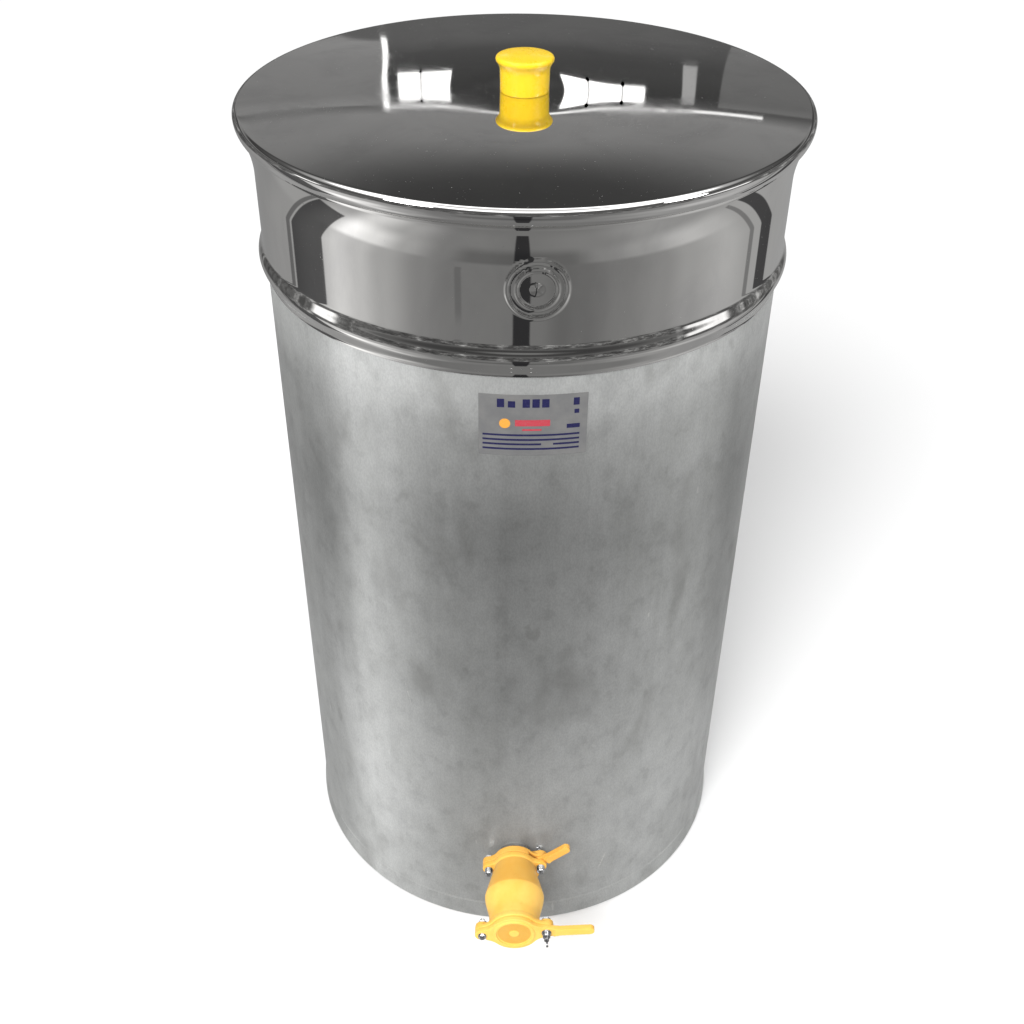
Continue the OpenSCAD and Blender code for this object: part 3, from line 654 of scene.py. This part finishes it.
panLoop = sheetLoop(panLine(panSet, wallSet), -wallSet["t"])
addPiece("bottomPan", *turned(panLoop, roundAngles), panSteel, "tank", "satin_steel", ("tank_bottom",))
hub = [(panSet["hub"], 0.0), (panSet["hub"], wallSet["t"]), (0.01, wallSet["t"]), (0.01, 0.0)]
hubAngles = np.linspace(-math.pi, math.pi, panSet["hubSteps"])
addPiece("panMiddle", *turned(hub, hubAngles), panSteel, "tank", "satin_steel")

beadSet = {"half": 1.9, "proud": 0.32, "sunk": 0.4, "ripple": 0.05, "ripples": 300, "steps": 1201, "arc": 9}


def beadLoop(radius, level, settings):
    # half an ellipse, with its flat back just inside the sheet
    a = np.radians(np.linspace(-90, 90, settings["arc"]))
    front = np.stack([radius + settings["proud"] * np.cos(a), level + settings["half"] * np.sin(a)], 1)
    sunk = radius - settings["sunk"]
    return np.concatenate([front, [[sunk, level + settings["half"]], [sunk, level - settings["half"]]]])


beadAngles = np.linspace(-math.pi, math.pi, beadSet["steps"])
bead = beadLoop(wallSet["r"], wallSet["low"], beadSet)
ripple = np.zeros((len(bead), len(beadAngles)))
ripple[:beadSet["arc"]] = -beadSet["ripple"] * (0.5 + 0.5 * np.cos(beadSet["ripples"] * beadAngles))
addPiece("panWeld", *turned(bead, beadAngles, ripple), weldSteel, "tank", "satin_steel")

seamSet = {"low": 28, "high": 712, "steps": 480, "bearing": 180, "half": 1.1, "arc": 9, "r": 239.85,
           "sunk": 239.3, "proud": 0.28, "ripple": 0.15, "pitch": 2.4}


def seamWeld(settings):
    # an upright bead behind: its height is a half cosine across, and a cosine ripples it along
    rise = np.linspace(settings["low"], settings["high"], settings["steps"])
    bulge = settings["proud"] * np.cos(np.linspace(-math.pi / 2, math.pi / 2, settings["arc"]))
    level, across = np.meshgrid(rise, bulge, indexing="ij")
    wave = 1 - settings["ripple"] + settings["ripple"] * np.cos(level * settings["pitch"])
    radius = settings["r"] + across * wave
    turn = np.radians(np.linspace(settings["bearing"] - settings["half"],
                                  settings["bearing"] + settings["half"], settings["arc"]))
    front = np.stack([radius * np.sin(turn), -radius * np.cos(turn), level], -1) * mm
    back = front.copy()
    back[..., :2] *= (settings["sunk"] / radius)[..., None]
    rings = np.concatenate([front, back[:, ::-1]], 1)
    rows, cols = rings.shape[:2]
    faces = gridFaces(rows, cols, rows - 1, cols)
    faces += [list(range(cols)), [(rows - 1) * cols + k for k in range(cols)][::-1]]
    return rings.reshape(-1, 3), faces


addPiece("wallWeld", *seamWeld(seamSet), weldSteel, "tank", "satin_steel")
print("tank made")


collarSet = {"low": 714.0, "r": 242.2, "lap": 241.1, "ease": 31, "swage": 729.6, "swageHigh": 4.9,
             "swageHalf": 15.4, "flare": 806.0, "flareRadius": 101.4, "lip": 845.0, "lipTop": 860.7,
             "curl": 3, "t": 1.0}
badgeSet = {"bearing": 2.5, "level": 792.0, "ridge": 24.0, "ridgeHalf": 2.4, "inner": 16.4,
            "innerHalf": 2.2, "middle": 6.4, "high": 1.05, "reach": 7.4, "step": 0.2, "farSteps": 270}


def collarLine(settings):
    # upright lap, a raised swage of squared cosine, a straight band, then a round flare and a curled lip
    z = np.concatenate([np.linspace(settings["low"], 746, 40), np.linspace(747, settings["flare"] - 1, 60)])
    out = easeLine((z - settings["low"]) / settings["ease"])
    lap = settings["lap"] + (settings["r"] - settings["lap"]) * out
    near = np.abs(z - settings["swage"]) < settings["swageHalf"]
    bead = np.where(near, settings["swageHigh"] * np.cos(
        math.pi / 2 * (z - settings["swage"]) / settings["swageHalf"]) ** 2, 0)
    high = np.linspace(settings["flare"], settings["lip"], 20)
    reach = settings["flareRadius"] - np.sqrt(settings["flareRadius"] ** 2 - (high - settings["flare"]) ** 2)
    curl = settings["curl"]
    lip = settings["r"] + reach[-1]
    return np.concatenate([np.stack([lap + bead, z], 1), np.stack([settings["r"] + reach, high], 1),
                           arcLine((lip - curl, settings["lipTop"] - curl), curl, 0, 150, 12)])


def badgePush(angles, line, settings):
    # round pressed badge: two rings and a small dome of squared cosine, on ground sunk a little
    a, z = np.meshgrid(angles, line[:, 1])
    far = np.hypot((a - math.radians(settings["bearing"])) * collarSet["r"], z - settings["level"])
    push = np.zeros_like(far)
    for middle, half, high in ((settings["ridge"], settings["ridgeHalf"], 1.0),
                               (settings["inner"], settings["innerHalf"], 0.8)):
        gap = np.clip(np.abs(far - middle) / half, 0, 1)
        push = np.maximum(push, high * np.cos(gap * math.pi / 2) ** 2)
    dome = np.clip(far / settings["middle"], 0, 1)
    push = np.maximum(push, 0.7 * np.cos(dome * math.pi / 2) ** 2)
    sunk = easeLine((settings["inner"] + 2 - far) / 3) * 0.12
    return settings["high"] * push - sunk * (push < 0.05)


# bearings stand close together across the badge and wider apart round the rest
near = np.radians(np.arange(-badgeSet["reach"], badgeSet["reach"] + 0.01, badgeSet["step"])
                  + badgeSet["bearing"])
far = np.linspace(near[-1], near[0] + 2 * math.pi, badgeSet["farSteps"])[1:]
collarAngles = np.concatenate([near, far])
line = collarLine(collarSet)
loop = sheetLoop(line, collarSet["t"])
move = np.zeros((len(loop), len(collarAngles)))
wrapped = np.mod(collarAngles + math.pi, 2 * math.pi) - math.pi
move[:len(line)] = badgePush(wrapped, line, badgeSet)
addPiece("collarBand", *turned(loop, collarAngles, move), collarMirror, "tank", "mirror_steel",
         ("top_collar",), 60)
print("collar made")


lidSet = {"z": 864.4, "r": 255.6, "hole": 3.2, "drop": 2.6, "edge": 5.0, "skirt": 14.5, "skirtLow": 846.8,
          "t": 1.0, "dimple": 0.55, "dimpleWide": 46.0, "dimpleFade": 120}


def lidLine(settings):
    # a low dome that falls as the square of the radius, with a bell-shaped dimple under the knob,
    # then two arcs: a rolled edge and a skirt that leans in
    edgeIn = settings["r"] - settings["edge"]
    edgeZ = settings["z"] - settings["drop"] - settings["edge"]
    r = np.linspace(settings["hole"], edgeIn - 0.4, 90)
    dome = settings["z"] - settings["drop"] * (r / edgeIn) ** 2
    ring = settings["dimple"] * (1 - np.exp(-(r / settings["dimpleWide"]) ** 2))
    ring *= easeLine((edgeIn - r) / settings["dimpleFade"])
    return np.concatenate([
        np.stack([r, dome + ring], 1),
        arcLine((edgeIn, edgeZ), settings["edge"], 86, 0, 24),
        arcLine((settings["r"] - settings["skirt"], edgeZ), settings["skirt"], -3,
                -math.degrees(math.asin((edgeZ - settings["skirtLow"]) / settings["skirt"])), 12),
    ])


lidLoop = sheetLoop(lidLine(lidSet), -lidSet["t"])
addPiece("lidPlate", *turned(lidLoop, roundAngles), lidMirror, "lid", "mirror_steel", ("lid",), 60)

knobSet = {"neck": 22.0, "top": 25.8, "high": 32.0, "rimZ": 28.0, "rim": 2.6, "foot": 864.4}


def knobLine(settings):
    # straight neck, a flare that grows as a square, a round rim and a domed top
    neck, rimTop = settings["neck"], settings["rimZ"] + settings["rim"]
    rimIn = settings["top"] - settings["rim"]
    t = np.linspace(0, 1, 9)
    u = np.linspace(0, 1, 14)[1:]
    w = np.linspace(0, 0.98, 12)[1:]
    top = rimIn * (1 - w)
    low, high = 18.0, settings["rimZ"] - 1.5
    line = np.concatenate([
        [[8.0, 0.0], [neck - 1, 0.0], [neck - 0.6, 0.15], [neck - 0.4, 0.6]],
        np.stack([neck - 0.3 + 0.3 * t, 1 + 17 * t], 1),
        np.stack([neck + (settings["top"] - 0.3 - neck) * u ** 2, low + (high - low) * u], 1),
        arcLine((rimIn, settings["rimZ"]), settings["rim"], -20, 78, 12),
        np.stack([top, rimTop + (settings["high"] - rimTop) * (1 - (top / rimIn) ** 2)], 1),
    ])
    line[:, 1] += settings["foot"]
    return line


knobRound = knobLine(knobSet)
knobLoop = np.concatenate([knobRound, [[0.02, knobRound[-1, 1]], [0.02, knobSet["foot"] + 20],
                                       [3.4, knobSet["foot"] + 19], [3.4, knobSet["foot"] + 0.4]]])
knobAngles = np.linspace(-math.pi, math.pi, 129)
addPiece("pullKnob", *turned(knobLoop, knobAngles), knobPlastic, "lid", "knob_plastic", ("lid_knob",), 50)
print("lid made")


filmSet = {"bearing": 2.3, "low": 638.0, "middle": 45, "r": 240.2, "back": 240.21, "front": 240.34}
# left, right, bottom and top of each printed mark, in millimetres from the film's lower left corner
printSet = {
    "blueInk": [(15, 21, 47, 55), (24, 30, 47, 53), (36, 42, 47, 55), (44, 50, 47, 55), (52, 58, 47, 55),
                (78, 83, 48, 55), (79, 83, 40, 44), (73, 84, 26, 30),
                (3, 84, 19.2, 21.0), (3, 84, 14.6, 16.4), (3, 52, 10.2, 12.0), (62, 84, 10.2, 12.0),
                (3, 84, 5.6, 7.4)],
    "redInk": [(30, 59, 29, 35), (36, 52, 24.6, 26.2)],
}
dotSet = {"across": 21.5, "up": 31.5, "r": 4.6, "steps": 32}


def filmTurn(across, film):
    # bearing of a place on the film: its distance from the film's middle over the wall's radius
    return math.radians(film["bearing"]) + (across - film["middle"]) / film["r"]


def printPatch(mark, film):
    # a thin closed slab bent round the wall: eight steps round, flat ends
    left, right, bottom, top = mark
    low, high = film["low"] + bottom, film["low"] + top
    loop = [(film["back"], low), (film["front"], low), (film["front"], high), (film["back"], high)]
    return turned(loop, np.linspace(filmTurn(left, film), filmTurn(right, film), 9))


def printDot(settings, film):
    # two circles on the wall's curve, one behind the other, joined round their edges
    count = settings["steps"]
    rim = np.linspace(0, 2 * math.pi, count + 1)[:-1]
    turn = filmTurn(settings["across"] + settings["r"] * np.sin(rim), film)
    up = film["low"] + settings["up"] + settings["r"] * np.cos(rim)
    layers = [np.stack([r * np.sin(turn), -r * np.cos(turn), up], 1) * mm
              for r in (film["back"], film["front"])]
    faces = [[k, (k + 1) % count, count + (k + 1) % count, count + k] for k in range(count)]
    faces += [list(range(count))[::-1], [count + k for k in range(count)]]
    return np.concatenate(layers), faces


for inkName, marks in printSet.items():
    allVerts, allFaces, start = [], [], 0
    for mark in marks:
        verts, faces = printPatch(mark, filmSet)
        allVerts.append(verts)
        allFaces += [[k + start for k in face] for face in outward(verts, faces)]
        start += len(verts)
    addPiece("print_" + inkName, np.concatenate(allVerts), allFaces, inks[inkName], "tank", "label_film")
addPiece("print_amberInk", *printDot(dotSet, filmSet), inks["amberInk"], "tank", "label_film")
print("label made")


# voxel is the new skin's grain in millimetres, rounds how often its edges are averaged
softSet = {
    "valve_body": {"piece": "valveBody", "voxel": 0.8, "rounds": 3, "body": "tank",
                   "finish": valvePlastic},
    "seat_flange": {"piece": "seatFlange", "voxel": 0.5, "rounds": 7, "body": "tank",
                    "finish": shadedRearPlastic},
    "front_gate_blade": {"piece": "frontGate", "voxel": 0.38, "rounds": 5, "body": "front_gate",
                         "finish": gatePlastic},
    "rear_gate_blade": {"piece": "rearGate", "voxel": 0.4, "rounds": 8, "body": "rear_gate",
                        "finish": shadedRearPlastic},
}


def softened(node, settings):
    # the node's shape as an even skin, its edges rounded by averaging each point with its neighbours
    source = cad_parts[node].data.copy()
    piece = bpy.data.objects.new(settings["piece"], source)
    scene.collection.objects.link(piece)
    weld = piece.modifiers.new("weld", "WELD")
    weld.merge_threshold = 1e-6
    skin = piece.modifiers.new("skin", "REMESH")
    skin.mode = "VOXEL"
    skin.voxel_size = settings["voxel"] * mm
    skin.use_smooth_shade = True
    even = piece.modifiers.new("even", "SMOOTH")
    even.factor = 0.5
    even.iterations = settings["rounds"]
    ready = piece.evaluated_get(bpy.context.evaluated_depsgraph_get())
    mesh = bpy.data.meshes.new_from_object(ready)
    piece.modifiers.clear()
    piece.data = mesh
    mesh.name = settings["piece"]
    mesh.materials.clear()
    mesh.materials.append(settings["finish"])
    mesh.polygons.foreach_set("use_smooth", np.ones(len(mesh.polygons), bool))
    piece.visible_glossy = False  # the dull wall shows no image of the valve
    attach(piece, settings["body"])
    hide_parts(node)
    print(settings["piece"], len(mesh.polygons), "faces")


for node, one in softSet.items():
    softened(node, one)


finishOf = {"capacity_label": labelFilm, "outlet_nipple": shadedNippleSteel, "outlet_gasket": blackRubber,
            "knob_washer": boltSteel, "knob_screw": boltSteel}
for end in ("front", "rear"):
    for kind in ("pivot_bolt", "catch_bolt", "catch_nut", "pivot_washer", "wing_nut"):
        finishOf[end + "_" + kind] = boltSteel
# nodes that a finer piece stands for
hidden = {"tank_shell": satinSteel, "tank_bottom": panSteel, "top_collar": collarMirror, "lid": lidMirror,
          "lid_knob": knobPlastic, "valve_body": valvePlastic, "seat_flange": valvePlastic,
          "front_gate_blade": valvePlastic, "rear_gate_blade": valvePlastic}
for node, material in {**finishOf, **hidden}.items():
    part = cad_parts[node]
    if not part.material_slots:
        part.data.materials.append(material)
    for slot in part.material_slots:
        slot.material = material
print("finishes set")
